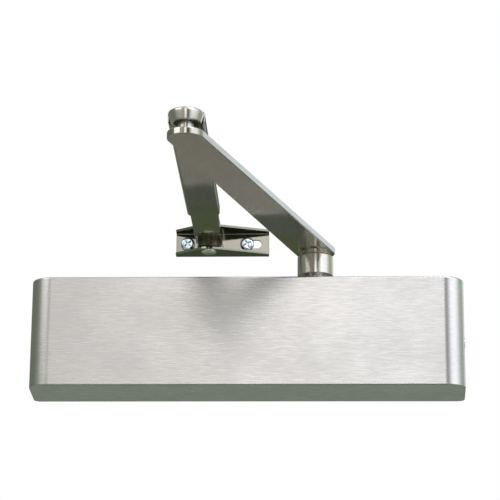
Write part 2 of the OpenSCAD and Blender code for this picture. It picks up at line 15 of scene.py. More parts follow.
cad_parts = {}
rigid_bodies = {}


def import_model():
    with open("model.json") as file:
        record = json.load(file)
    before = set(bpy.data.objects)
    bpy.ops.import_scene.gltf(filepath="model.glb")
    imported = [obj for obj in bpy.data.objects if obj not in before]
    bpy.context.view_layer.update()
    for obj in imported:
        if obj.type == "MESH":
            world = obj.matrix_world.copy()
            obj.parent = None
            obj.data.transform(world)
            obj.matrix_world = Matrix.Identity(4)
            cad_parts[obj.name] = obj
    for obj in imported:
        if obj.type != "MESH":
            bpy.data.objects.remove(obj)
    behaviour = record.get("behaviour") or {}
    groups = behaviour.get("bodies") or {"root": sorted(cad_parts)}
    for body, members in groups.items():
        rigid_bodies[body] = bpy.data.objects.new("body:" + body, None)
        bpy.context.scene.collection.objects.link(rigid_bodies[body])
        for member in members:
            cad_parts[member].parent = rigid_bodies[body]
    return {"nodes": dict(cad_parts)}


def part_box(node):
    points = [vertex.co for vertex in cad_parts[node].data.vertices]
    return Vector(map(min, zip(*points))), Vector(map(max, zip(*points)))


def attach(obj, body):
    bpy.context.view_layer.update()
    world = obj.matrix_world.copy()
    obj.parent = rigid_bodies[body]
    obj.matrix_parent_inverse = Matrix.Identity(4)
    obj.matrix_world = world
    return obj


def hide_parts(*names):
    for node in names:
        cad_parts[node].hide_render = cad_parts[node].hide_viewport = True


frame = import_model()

LOG = logging.getLogger("door_closer")
MM = 0.001
Span = tuple[float, float]
Point = Sequence[float]
Tree = bpy.types.NodeTree
Socket = bpy.types.NodeSocket


class Bodies(Enum):
    """The moving bodies of the closer that carry new pieces."""

    HOUSING = "housing"
    SPINDLE = "spindle_body"
    FOREARM = "forearm_body"
    ROD = "rod_body"
    FOOT = "foot_body"


# ---------------- finishes


def linear(hex_colour: str) -> tuple[float, float, float, float]:
    """Turn an sRGB colour into the linear values that shaders work in.

    Args:
        hex_colour: Six hex digits, with or without a leading mark.

    Returns:
        Red, green, blue and an alpha of 1.
    """
    digits = hex_colour.lstrip("#")
    parts = [int(digits[i : i + 2], 16) / 255 for i in (0, 2, 4)]
    red, green, blue = (c / 12.92 if c <= 0.04045 else ((c + 0.055) / 1.055) ** 2.4 for c in parts)
    return red, green, blue, 1.0


def add_node(tree: Tree, kind: str, inputs: dict[Any, Any], **settings: Any) -> bpy.types.Node:
    """Add one node, give it its settings, and fill or link its inputs.

    Args:
        tree: The node tree that gets the node.
        kind: Blender's name for the node's type.
        inputs: Values or output sockets, by the input's name or number.
        settings: Properties of the node itself.

    Returns:
        The new node.
    """
    node = tree.nodes.new(kind)
    for key, value in settings.items():
        setattr(node, key, value)
    for key, value in inputs.items():
        if isinstance(value, bpy.types.NodeSocket):
            tree.links.new(value, node.inputs[key])
        else:
            node.inputs[key].default_value = value
    return node


def remap(tree: Tree, value: Socket, ends: Span, to: Span = (0.0, 1.0), **settings: Any) -> Socket:
    """Stretch values that run between two ends to two others, and give the socket of the result."""
    inputs = {"Value": value, "From Min": ends[0], "From Max": ends[1], "To Min": to[0], "To Max": to[1]}
    return add_node(tree, "ShaderNodeMapRange", inputs, **settings).outputs[0]


def blend(tree: Tree, factor: Socket, *colours: Socket | str) -> Socket:
    """Mix two colours, each a socket or six hex digits, and give the socket of the result."""
    ends = {6 + i: linear(c) if isinstance(c, str) else c for i, c in enumerate(colours)}
    return add_node(tree, "ShaderNodeMix", {"Factor": factor, **ends}, data_type="RGBA").outputs[2]


def calculate(tree: Tree, operation: str, first: Socket, second: Socket | float) -> Socket:
    """Work out one sum of two values, by the name of Blender's math operation."""
    return add_node(tree, "ShaderNodeMath", {0: first, 1: second}, operation=operation).outputs[0]


def start_material(name: str, values: dict[str, Any]) -> tuple[bpy.types.Material, bpy.types.Node]:
    """Start a node-based material.

    Args:
        name: Its name.
        values: Values of its shader's inputs.

    Returns:
        The material and its shader.
    """
    made = bpy.data.materials.new(name)
    made.use_nodes = True
    shader = made.node_tree.nodes["Principled BSDF"]
    for key, value in values.items():
        shader.inputs[key].default_value = value
    return made, shader


@dataclass(frozen=True)
class Strokes:
    """Marks along a piece: their mean size in millimetres along X, Y and Z, and the piece's turn about Z."""

    label: str = "even"
    size: Point = (0.8, 0.8, 0.8)
    turn: float = 0.0

    def factor(self, tree: Tree, place: Socket) -> Socket:
        """Draw the marks.

        Args:
            tree: The material's node tree.
            place: Object coordinates, in metres.

        Returns:
            A socket from 0 to 1, even about 0.5.
        """
        scale = tuple(s * MM for s in self.size)
        inputs = {"Vector": place, "Rotation": (0, 0, self.turn), "Scale": scale}
        laid = add_node(tree, "ShaderNodeMapping", inputs, vector_type="TEXTURE").outputs[0]
        inputs = {"Vector": laid, "Scale": 1.0, "Detail": 3.0, "Roughness": 0.6}
        return add_node(tree, "ShaderNodeTexNoise", inputs).outputs[0]


@dataclass(frozen=True)
class LatheRings:
    """Rings that a lathe leaves about an upright axis through the centre. Sizes in millimetres."""

    label: str
    centre: Point
    pitch: float = 0.6
    stretch: float = 0.95

    def factor(self, tree: Tree, place: Socket) -> Socket:
        """Draw the rings, on the faces and round the sides alike.

        Args:
            tree: The material's node tree.
            place: Object coordinates, in metres.

        Returns:
            A socket from 0 to 1, even about 0.5.
        """
        centre = tuple(c * MM for c in self.centre)
        inputs = {"Vector": place, "Location": centre, "Scale": (self.pitch * MM,) * 3}
        laid = add_node(tree, "ShaderNodeMapping", inputs, vector_type="TEXTURE").outputs[0]
        split = add_node(tree, "ShaderNodeSeparateXYZ", {0: laid})
        flat = add_node(tree, "ShaderNodeCombineXYZ", {0: split.outputs[0], 1: split.outputs[1]})
        radius = add_node(tree, "ShaderNodeVectorMath", {0: flat.outputs[0]}, operation="LENGTH")
        along = calculate(tree, "ADD", radius.outputs["Value"], split.outputs[2])
        inputs = {"W": along, "Scale": 1.0, "Detail": 2.0}
        return add_node(tree, "ShaderNodeTexNoise", inputs, noise_dimensions="1D").outputs[0]

    def spread_across(self, tree: Tree, place: Socket, shader: bpy.types.Node) -> None:
        """Smear what the surface mirrors across the rings, as fine turning does.

        Args:
            tree: The material's node tree.
            place: Object coordinates, in metres.
            shader: The material's shader.
        """
        centre = tuple(c * MM for c in self.centre)
        arm = add_node(tree, "ShaderNodeVectorMath", {0: place, 1: centre}, operation="SUBTRACT")
        inputs = {0: (0.0, 0.0, 1.0), 1: arm.outputs[0]}
        tangent = add_node(tree, "ShaderNodeVectorMath", inputs, operation="CROSS_PRODUCT").outputs[0]
        ways = {"vector_type": "VECTOR", "convert_from": "OBJECT", "convert_to": "WORLD"}
        turned = add_node(tree, "ShaderNodeVectorTransform", {0: tangent}, **ways)
        tree.links.new(turned.outputs[0], shader.inputs["Tangent"])
        shader.inputs["Anisotropic"].default_value = self.stretch
        shader.inputs["Anisotropic Rotation"].default_value = 0.25


Marks = Strokes | LatheRings


@dataclass(frozen=True)
class Finish:
    """One finish of the closer: two colours that it varies between, its gloss, and how deep its marks are."""

    name: str
    tint: str
    shade: str
    roughness: Span
    metallic: float = 1.0
    depth_mm: float = 0.004
    cloud_mm: float = 45.0
    cloud_share: float = 0.35

    def material(self, marks: Marks = Strokes()) -> bpy.types.Material:
        """Make the material, or fetch it if the same finish and marks were used before.

        Args:
            marks: The marks of the tool that the surface was made with.

        Returns:
            A node-based material.
        """
        key = f"{self.name}_{marks.label}"
        found = bpy.data.materials.get(key)
        if found:
            return found
        made, shader = start_material(key, {"Metallic": self.metallic})
        tree = made.node_tree
        place = add_node(tree, "ShaderNodeTexCoord", {}).outputs["Object"]
        fine = marks.factor(tree, place)
        inputs = {"Vector": place, "Scale": 1 / (self.cloud_mm * MM), "Detail": 2.0}
        cloud = add_node(tree, "ShaderNodeTexNoise", inputs)
        inputs = {"Factor": self.cloud_share, "A": fine, "B": cloud.outputs[0]}
        share = add_node(tree, "ShaderNodeMix", inputs, data_type="FLOAT")
        spread = remap(tree, share.outputs[0], (0.3, 0.7))
        gloss = remap(tree, spread, (0.0, 1.0), self.roughness[::-1])
        bump = add_node(tree, "ShaderNodeBump", {"Height": fine, "Distance": self.depth_mm * MM})
        tree.links.new(blend(tree, spread, self.shade, self.tint), shader.inputs["Base Color"])
        tree.links.new(gloss, shader.inputs["Roughness"])
        tree.links.new(bump.outputs[0], shader.inputs["Normal"])
        if isinstance(marks, LatheRings):
            marks.spread_across(tree, place, shader)
        return made


# Nickel-plated steel sheet, brushed along the body by a belt: a pale grey with streaks some 8 mm long. Real grit
# lines are 0.1 mm apart; these are drawn at 0.45 mm, so that they show.
BRUSHED_NICKEL = Finish("brushed_satin_nickel", "E0DEDD", "C6C4C3", (0.25, 0.31), depth_mm=0.003)
BRUSHED_ALONG_BODY = Strokes("along_body", (8.0, 3.0, 0.45))

# Nickel plate over ground steel bar: the same grey, duller, with a soft cloudy sheen.
SATIN_NICKEL = Finish("satin_nickel_bar", "CCC8C0", "BBB7AE", (0.09, 0.14), depth_mm=0.0016)
ALONG_FOREARM = Strokes("along_forearm", (1.2, 14.0, 1.2))

# Nickel plate over a turned and buffed part: near mirror, with faint rings.
POLISHED_NICKEL = Finish("polished_nickel", "E2DFD8", "D2CEC6", (0.2, 0.26), depth_mm=0.0008)

# Nickel plate over pressed sheet: warmer and flatter than the bars, since the sheet isn't ground first. Its tone
# is darker than the nickel's own, as painted shade for how dim the bracket looks under this light.
BRACKET_NICKEL_PAINTED_SHADE = Finish("pressed_nickel_sheet", "9E9D94", "8E8D84", (0.07, 0.11), depth_mm=0.001)

# Bright zinc plate with a blue passivate: a cold tint with a crystalline sparkle.
BLUE_ZINC = Finish("blue_zinc_plate", "E6EFF6", "C9D8E4", (0.12, 0.22), depth_mm=0.003, cloud_mm=6.0)

# Hot-rolled steel, zinc plated and left as pressed.
PLAIN_ZINC = Finish("zinc_plated_sheet", "B9BDBE", "9EA3A5", (0.3, 0.46), depth_mm=0.008, cloud_mm=18.0)

# Sand-cast aluminium, shot blasted: an even grain of about half a millimetre.
CAST_ALUMINIUM = Finish("blasted_cast_aluminium", "A9A9A6", "8E8E8B", (0.48, 0.62), depth_mm=0.05)

# Turned steel, oiled.
TURNED_STEEL = Finish("turned_steel", "B7B5B1", "9C9A96", (0.2, 0.32), depth_mm=0.004)

# Steel blackened in a hot oxide bath: dark, with a dull oily gloss.
BLACK_OXIDE = Finish("black_oxide_steel", "64624C", "4E4C3A", (0.26, 0.36), metallic=0.9, depth_mm=0.003)

# Oil-tempered spring wire.
SPRING_STEEL = Finish("oil_tempered_wire", "6C6A66", "504E4B", (0.3, 0.42), depth_mm=0.003)

# Turned free-cutting brass.
TURNED_BRASS = Finish("turned_brass", "C9A760", "B08F4C", (0.18, 0.3), depth_mm=0.004)

# Moulded nitrile rubber: matt black with a faint bloom.
NITRILE_RUBBER = Finish("moulded_nitrile", "1B1B1B", "121212", (0.6, 0.75), metallic=0.0, depth_mm=0.004)

# Filled PTFE ring, skived: off-white and waxy.
FILLED_PTFE = Finish("filled_ptfe", "BDB6A6", "A69F90", (0.4, 0.55), metallic=0.0, depth_mm=0.004)

# Moulded nylon filled with graphite: near black, with a greasy gloss. Its dark green-black tone is partly painted
# shade, standing in for the shade in the gap under the elbow cap.
GRAPHITE_NYLON_WITH_GAP_SHADE = Finish("graphite_nylon", "2E2F28", "23241E", (0.35, 0.5), metallic=0.0, depth_mm=0.004)

# The CAD nodes that stay, by their finish.
NODE_FINISHES: list[tuple[Finish, list[str]]] = [
    (CAST_ALUMINIUM, ["body_casting"]),
    (PLAIN_ZINC, ["mounting_plate"]),
    (BLACK_OXIDE, ["body_screws"]),
    (TURNED_STEEL, ["spring_end_plug", "head_end_plug", "upper_bearing", "lower_bearing", "power_adjuster"]),
    (TURNED_STEEL, ["spring_seat", "piston", "check_ball", "pinion_shaft", "elbow_clip"]),
    (NITRILE_RUBBER, ["end_plug_seals", "upper_shaft_seal", "lower_shaft_seal"]),
    (NITRILE_RUBBER, ["valve_seals", "adjuster_seal"]),
    (TURNED_BRASS, ["upper_gland_nut", "lower_gland_cap", "closing_valve", "latching_valve"]),
    (TURNED_BRASS, ["backcheck_valve", "check_valve_retainer"]),
    (SPRING_STEEL, ["power_spring"]),
    (FILLED_PTFE, ["piston_rings"]),
]


# ---------------- the bench


def box_mm(node: str) -> tuple[Vector, Vector]:
    """Find a CAD node's lowest and highest corners, in millimetres."""
    low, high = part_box(node)
    return Vector(low) / MM, Vector(high) / MM


def axis_of(node: str) -> Vector:
    """Find where the upright axis of a CAD node crosses height 0, in millimetres."""
    low, high = box_mm(node)
    return Vector(((low.x + high.x) / 2, (low.y + high.y) / 2, 0))


def past(low: Vector, high: Vector) -> Span:
    """Give two heights that lie 1 mm beyond a box, for a tool that cuts right through it."""
    return low.z - 1, high.z + 1


def deselect() -> None:
    """Leave every object unselected, so that the next operator acts on its own piece only."""
    for other in bpy.context.view_layer.objects.selected[:]:
        other.select_set(False)


class Workpiece:
    """A piece on the bench, shaped by operators. Its sizes are in millimetres and its place is in its mesh."""

    def __init__(self, name: str) -> None:
        """Take the primitive that was just added, name it, and put its place into its mesh.

        Args:
            name: The piece's name.
        """
        self.item = bpy.context.active_object
        self.item.name = self.item.data.name = name
        bpy.ops.object.transform_apply(location=True, rotation=True, scale=True)

    @classmethod
    def block(cls, name: str, low: Point, high: Point) -> Self:
        """Start from a block.

        Args:
            name: The piece's name.
            low: Its lowest corner.
            high: Its highest corner.

        Returns:
            The block on the bench.
        """
        deselect()
        a, b = Vector(low) * MM, Vector(high) * MM
        bpy.ops.mesh.primitive_cube_add(size=1, location=(a + b) / 2, scale=b - a)
        return cls(name)

    @classmethod
    def turned(cls, name: str, profile: Sequence[Span], sides: int = 96) -> Self:
        """Turn a piece about Z: a cone whose end face is extruded and scaled along the rest of the profile.

        Args:
            name: The piece's name.
            profile: Radius and height of each step, from the first end to the last.
            sides: Facets round the piece.

        Returns:
            The piece, standing on the Z axis.
        """
        deselect()
        (r0, z0), (r1, z1) = profile[:2]
        bpy.ops.mesh.primitive_cone_add(
            vertices=sides,
            radius1=r0 * MM,
            radius2=r1 * MM,
            depth=(z1 - z0) * MM,
            location=(0, 0, (z0 + z1) / 2 * MM),
        )
        piece = cls(name)
        with piece.editing():
            piece.select("FACE", lambda centre, normal: centre.z > z1 - 1e-3 and normal.z > 0.99)
            radius, height = r1, z1
            for next_radius, next_height in profile[2:]:
                rise = (0, 0, (next_height - height) * MM)
                bpy.ops.mesh.extrude_region_move(TRANSFORM_OT_translate={"value": rise})
                ratio = next_radius / radius
                bpy.ops.transform.resize(value=(ratio, ratio, 1), center_override=(0, 0, next_height * MM))
                radius, height = next_radius, next_height
            bpy.ops.mesh.select_all(action="SELECT")
            bpy.ops.mesh.normals_make_consistent(inside=False)
        return piece

    def hold(self) -> None:
        """Select this piece alone, and make it the active one."""
        deselect()
        self.item.select_set(True)
        bpy.context.view_layer.objects.active = self.item

    @contextmanager
    def editing(self) -> Iterator[None]:
        """Hold the piece in edit mode."""
        self.hold()
        bpy.ops.object.mode_set(mode="EDIT")
        yield
        bpy.ops.object.mode_set(mode="OBJECT")

    def select(self, kind: str, wanted: Callable[..., bool]) -> None:
        """Select parts of the mesh by their place, in edit mode.

        Args:
            kind: FACE, EDGE or VERT.
            wanted: Says yes or no to a face's centre and normal, an edge's two ends, or a vertex.
        """
        bpy.ops.mesh.select_mode(type=kind)
        bpy.ops.mesh.select_all(action="DESELECT")
        mesh = bmesh.from_edit_mesh(self.item.data)
        if kind == "FACE":
            for face in mesh.faces:
                face.select_set(wanted(face.calc_center_median() / MM, face.normal))
        elif kind == "EDGE":
            for edge in mesh.edges:
                edge.select_set(wanted(edge.verts[0].co / MM, edge.verts[1].co / MM))
        else:
            for vertex in mesh.verts:
                vertex.select_set(wanted(vertex.co / MM))
            mesh.select_flush(True)
        bmesh.update_edit_mesh(self.item.data)

    def bevel(self, width: float, segments: int, wanted: Callable[[Vector, Vector], bool]) -> Self:
        """Round the edges that are wanted.

        Args:
            width: Distance of the new edges from the old one.
            segments: Facets across the rounding.
            wanted: Says yes or no to an edge's two ends in millimetres.

        Returns:
            The piece.
        """
        with self.editing():
            self.select("EDGE", wanted)
            bpy.ops.mesh.bevel(offset=width * MM, segments=segments, affect="EDGES", offset_type="OFFSET")
        return self

    def draw_out(self, start: Vector, reach: Vector, ratio: float = 1.0) -> Self:
        """Move the half of the piece that lies beyond a point, and scale it about where that point goes.

        Args:
            start: The point.
            reach: How far it moves, and which way lies beyond it.
            ratio: The scale along X and Y.

        Returns:
            The piece.
        """
        with self.editing():
            self.select("VERT", lambda place: (place - start).dot(reach.normalized()) > 0.01)
            bpy.ops.transform.translate(value=reach * MM)
            bpy.ops.transform.resize(value=(ratio, ratio, 1), center_override=(start + reach) * MM)
        return self

    def slice(self, point: Point, normal: Point) -> Self:
        """Cut away what lies beyond a plane, and close the cut.

        Args:
            point: A point of the plane.
            normal: The direction that is cut away.

        Returns:
            The piece.
        """
        with self.editing():
            bpy.ops.mesh.select_all(action="SELECT")
            bpy.ops.mesh.bisect(plane_co=Vector(point) * MM, plane_no=normal, use_fill=True, clear_outer=True)
        return self

    def place(self, location: Point, turn: Point = (0.0, 0.0, 0.0)) -> Self:
        """Turn the piece about the origin, move it to its place, and put both into its mesh.

        Args:
            location: Where its origin goes.
            turn: Its turn about X, Y and Z, in radians.

        Returns:
            The piece.
        """
        self.hold()
        self.item.rotation_euler = turn
        self.item.location = Vector(location) * MM
        bpy.ops.object.transform_apply(location=True, rotation=True, scale=True)
        return self

    def apply(self, kind: str, **settings: Any) -> Self:
        """Add a modifier and apply it.

        Args:
            kind: Blender's name for the modifier's type.
            settings: The modifier's properties.

        Returns:
            The piece.
        """
        self.hold()
        modifier = self.item.modifiers.new(kind.title(), kind)
        for key, value in settings.items():
            setattr(modifier, key, value)
        bpy.ops.object.modifier_apply(modifier=modifier.name)
        return self

    def combine(self, tools: Sequence["Workpiece"], operation: str = "DIFFERENCE") -> Self:
        """Cut other pieces out of this one, or join them on, and scrap them.

        Args:
            tools: The other pieces.
            operation: DIFFERENCE, UNION or INTERSECT.

        Returns:
            The piece.
        """
        for tool in tools:
            self.apply("BOOLEAN", operation=operation, object=tool.item, solver="EXACT")
            tool.scrap()
        return self

    def bore(self, radius: float, ends: Span, at: Point = (0, 0, 0), sides: int = 96) -> Self:
        """Drill an upright hole between two heights, its axis through a point."""
        return self.combine([Workpiece.turned("bore", [(radius, z) for z in ends], sides).place(at)])

    def scrap(self) -> None:
        """Remove the piece."""
        mesh = self.item.data
        bpy.data.objects.remove(self.item)
        bpy.data.meshes.remove(mesh)

    def ease(self, width: float, segments: int = 3, angle: float = 40.0) -> Self:
        """Take the sharpness off every edge that turns by more than an angle, in degrees."""
        return self.apply(
            "BEVEL",
            width=width * MM,
            segments=segments,
            limit_method="ANGLE",
            angle_limit=math.radians(angle),
            miter_outer="MITER_ARC",
        )

    def pair(self, name: str, spots: Sequence[tuple[float, Point, Point]]) -> Self:
        """Set this piece and one copy of it in two places, as one object.

        Args:
            name: The object's name.
            spots: For each, its turn about its own axis in degrees, its place, and the turn that lays its axis.

        Returns:
            The two as one piece.
        """
        twin = Workpiece.__new__(Workpiece)
        twin.item = self.item.copy()
        twin.item.data = self.item.data.copy()
        bpy.context.scene.collection.objects.link(twin.item)
        for piece, (spin, location, laid) in zip((self, twin), spots):
            piece.place((0, 0, 0), (0, 0, math.radians(spin))).place(location, laid)
        self.hold()
        twin.item.select_set(True)
        bpy.ops.object.join()
        self.item.name = name
        return self

    def dress(self, body: Bodies, slot: str, finish: Finish, replaces: str, marks: Marks = Strokes()) -> None:
        """Smooth the piece, give it its finish, and set it on its body.

        Args:
            body: The body that it moves with.
            slot: The record's material slot; not used.
            finish: Its finish.
            replaces: The CAD node that it stands for.
            marks: The marks of the tool that made its surface.
        """
        self.hold()
        bpy.ops.object.shade_smooth_by_angle(angle=math.radians(35))
        self.apply("WEIGHTED_NORMAL", keep_sharp=True, weight=80)
        self.item.data.materials.clear()
        self.item.data.materials.append(finish.material(marks))
        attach(self.item, body.value)
        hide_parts(replaces)
        triangles = sum(len(face.vertices) - 2 for face in self.item.data.polygons)
        LOG.info("%s: %d triangles on %s", self.item.name, triangles, body.value)


def rounded(outer: float, top: float, radius: float, steps: int = 6) -> list[Span]:
    """Give a rounded shoulder's profile: its steps' radii and heights, from the outer side to the top."""
    turns = [math.pi / 2 * i / steps for i in range(steps + 1)]
    return [(outer - radius + radius * math.cos(a), top - radius + radius * math.sin(a)) for a in turns]


def near(value: float, other: float) -> bool:
    """Say whether two sizes are the same, give or take a hundredth of a millimetre."""
    return abs(value - other) <= 0.01


def stands_at(y: float, a: Vector, b: Vector) -> bool:
    """Say whether an edge from a to b lies at this y and runs upward."""
    return near(a.y, y) and near(b.y, y) and abs(a.z - b.z) > 1


def lies_at(y: float, a: Vector, b: Vector) -> bool:
    """Say whether an edge from a to b lies at this y and runs level."""
    return near(a.y, y) and near(b.y, y) and near(a.z, b.z)


# ---------------- sub-assemblies


@dataclass
class Housing:
    """The one-piece cover with its two end screws. What is inside stays as the CAD made it."""

    corner: float = 14.0
    edge: float = 1.1
    wall: float = 1.6
    lean: float = 0.05
    back_corner: float = 3.0
    spindle_hole: float = 10.0
    screw_hole: float = 2.2
    screw_head: float = 0.5
    screw_lift: float = 1.2
    screw_y: float = -13.0

    def cover(self) -> None:
        """Press the cover: a block narrowed to its front, rounded, emptied from the back and drilled."""
        low, high = box_mm("cover")
        half = high.x + self.back_corner * self.lean
        shell = Workpiece.block("cover_shell", (-half, low.y, low.z), (half, high.y, high.z))
        with shell.editing():
            shell.select("FACE", lambda centre, normal: normal.y < -0.99)
            bpy.ops.transform.resize(value=(1 + low.y * self.lean / half, 1, 1))
        for y, radius, tilt in ((low.y, self.corner, -self.lean), (high.y, self.back_corner, self.lean)):
            setback = radius * math.tan(math.pi / 4 + math.atan(tilt) / 2)
            shell.bevel(setback, 16, lambda a, b: stands_at(y, a, b))
        with shell.editing():
            shell.select("FACE", lambda centre, normal: normal.y > 0.99)
            bpy.ops.mesh.delete(type="ONLY_FACE")
        shell.bevel(self.edge, 5, lambda a, b: near(a.z, b.z) and not (near(a.y, 0) and near(b.y, 0)))
        shell.apply("SOLIDIFY", thickness=self.wall * MM, offset=-1.0, use_even_offset=True)
        shell.bore(self.spindle_hole, (high.z - 4, high.z + 2), axis_of("pinion_shaft"))
        drill = Workpiece.turned("drill", [(self.screw_hole, low.x - 2), (self.screw_hole, high.x + 2)], 48)
        drill.place((0, self.screw_y, 0), (0, math.pi / 2, 0))
        shell.combine([drill]).ease(0.15, 2, 50)
        shell.dress(Bodies.HOUSING, "satin_cover", BRUSHED_NICKEL, "cover", BRUSHED_ALONG_BODY)

    def end_screws(self) -> None:
        """Turn one low slotted screw, and copy it to the other end."""
        seat = box_mm("cover_screws")[1].x - self.screw_lift
        head = self.screw_head
        shank = [(1.9, -8.0), (1.9, -0.4), (3.6, -0.38)]
        screw = Workpiece.turned("cover_screw", [*shank, *rounded(3.6, head, head * 0.8)], 64)
        slot = Workpiece.block("slot", (-0.5, -5, head * 0.4), (0.5, 5, head + 1))
        screw.combine([slot]).ease(0.08, 2, 50)
        right = (20, (seat, self.screw_y, 0), (0, math.pi / 2, 0))
        left = (-35, (-seat, self.screw_y, 0), (0, -math.pi / 2, 0))
        screw.pair("cover_end_screws", [right, left])
        screw.dress(Bodies.HOUSING, "zinc_screws", BLUE_ZINC, "cover_screws")

    def build(self) -> None:
        """Make the cover and its screws."""
        self.cover()
        self.end_screws()


@dataclass
class MainArm:
    """The flat arm with its round hub, its washer and screw, and the stud at the elbow."""

    end_spindle: float = 13.0
    end_elbow: float = 10.6
    edge: float = 0.7
    square: float = 10.04
    washer_radius: float = 8.0
    key_radius: float = 2.9
    thread_radius: float = 3.0
    stud_radius: float = 4.6
    collar_radius: float = 6.0
    groove_radius: float = 3.8
    spindle: Vector = field(default_factory=lambda: axis_of("arm_hub"))
    elbow: Vector = field(default_factory=lambda: axis_of("elbow_stud"))

    def square_tool(self, low: Vector, high: Vector) -> Workpiece:
        """Make the block that cuts the spindle's square, from 1 mm below a box to 1 mm above it."""
        half = Vector((self.square / 2, self.square / 2, 1))
        foot, top = (self.spindle + Vector((0, 0, corner.z)) for corner in (low, high))
        return Workpiece.block("square", foot - half, top + half)

    def hub(self) -> None:
        """Turn the hub: an eased foot, a long plain side, and a small step under the arm."""
        low, high = box_mm("arm_hub")
        radius = (high.x - low.x) / 2
        step = high.z - 2.4
        outline = [(radius - 0.45, low.z), (radius - 0.13, low.z + 0.13), (radius, low.z + 0.45)]
        outline += [(radius, step - 0.1), (radius - 0.1, step + 0.1), (radius - 1.1, step + 1.1)]
        outline += [(radius - 1.2, step + 1.4), (radius - 1.2, high.z)]
        hub = Workpiece.turned("spindle_hub", outline, 128)
        hub.place(self.spindle).combine([self.square_tool(low, high)])
        rings = LatheRings("at_spindle", self.spindle)
        hub.dress(Bodies.SPINDLE, "polished_nickel", POLISHED_NICKEL, "arm_hub", rings)

    def bar(self) -> None:
        """Shape the arm: a disc at the spindle whose far half is drawn out to the elbow and narrowed."""
        low, high = box_mm("main_arm")
        bar = Workpiece.turned("main_arm_bar", [(self.end_spindle, low.z), (self.end_spindle, high.z)], 128)
        reach = self.elbow - self.spindle
        bar.place(self.spindle).draw_out(self.spindle, reach, self.end_elbow / self.end_spindle)
        bar.ease(self.edge, 5, 40).combine([self.square_tool(low, high)])
        grain = Strokes("along_arm", (1.2, 14.0, 1.2), math.atan2(-reach.x, reach.y))
        bar.dress(Bodies.SPINDLE, "satin_nickel", SATIN_NICKEL, "main_arm", grain)

    def fixing(self) -> None:
        """Turn the washer and the socket-head screw on top of the arm."""
        low, high = box_mm("arm_washer")
        rim = self.washer_radius
        outline = [(rim - 0.2, low.z), (rim, low.z + 0.2), (rim, high.z - 0.3), (rim - 0.3, high.z)]
        washer = Workpiece.turned("spindle_washer", outline)
        washer.bore(self.thread_radius + 0.2, past(low, high), sides=48).place(self.spindle).ease(0.08, 2, 50)
        rings = LatheRings("at_spindle", self.spindle)
        washer.dress(Bodies.SPINDLE, "zinc_screws", BLUE_ZINC, "arm_washer", rings)
        foot, top = box_mm("arm_screw")
        seat, shank = high.z, self.thread_radius
        head = (top.x - foot.x) / 2
        outline = [(shank - 0.4, foot.z), (shank, foot.z + 0.5), (shank, seat), (head - 0.3, seat + 0.02)]
        outline += [(head, seat + 0.3), *rounded(head, top.z, 0.6, 4)]
        screw = Workpiece.turned("spindle_screw", outline, 64)
        screw.bore(self.key_radius, (top.z - 2.4, top.z + 1), sides=6).ease(0.1, 2, 50).place(self.spindle)
        screw.dress(Bodies.SPINDLE, "zinc_screws", BLUE_ZINC, "arm_screw", rings)

    def stud(self) -> None:
        """Turn the elbow stud, with its collar on the arm and its groove for the clip."""
        low, high = box_mm("elbow_stud")
        seat = box_mm("main_arm")[1].z
        groove = box_mm("elbow_clip")
        side, collar, neck = self.stud_radius, self.collar_radius, self.groove_radius
        outline = [(side, low.z + 0.6), (side, seat - 0.2), (collar, seat - 0.18), (collar, seat + 0.75)]
        outline += [(collar - 0.25, seat + 1.0), (side + 0.15, seat + 1.02), (side, seat + 1.2)]
        outline += [(side, groove[0].z - 0.02), (neck, groove[0].z - 0.01), (neck, groove[1].z + 0.01)]
        outline += [(side, groove[1].z + 0.02), (side, high.z - 0.2), (side - 0.2, high.z)]
        stud = Workpiece.turned("elbow_neck", outline)
        rings = LatheRings("at_elbow", self.elbow)
        stud.place(self.elbow).dress(Bodies.SPINDLE, "polished_nickel", POLISHED_NICKEL, "elbow_stud", rings)

    def build(self) -> None:
        """Make the arm's pieces."""
        self.hub()
        self.bar()
        self.fixing()
        self.stud()


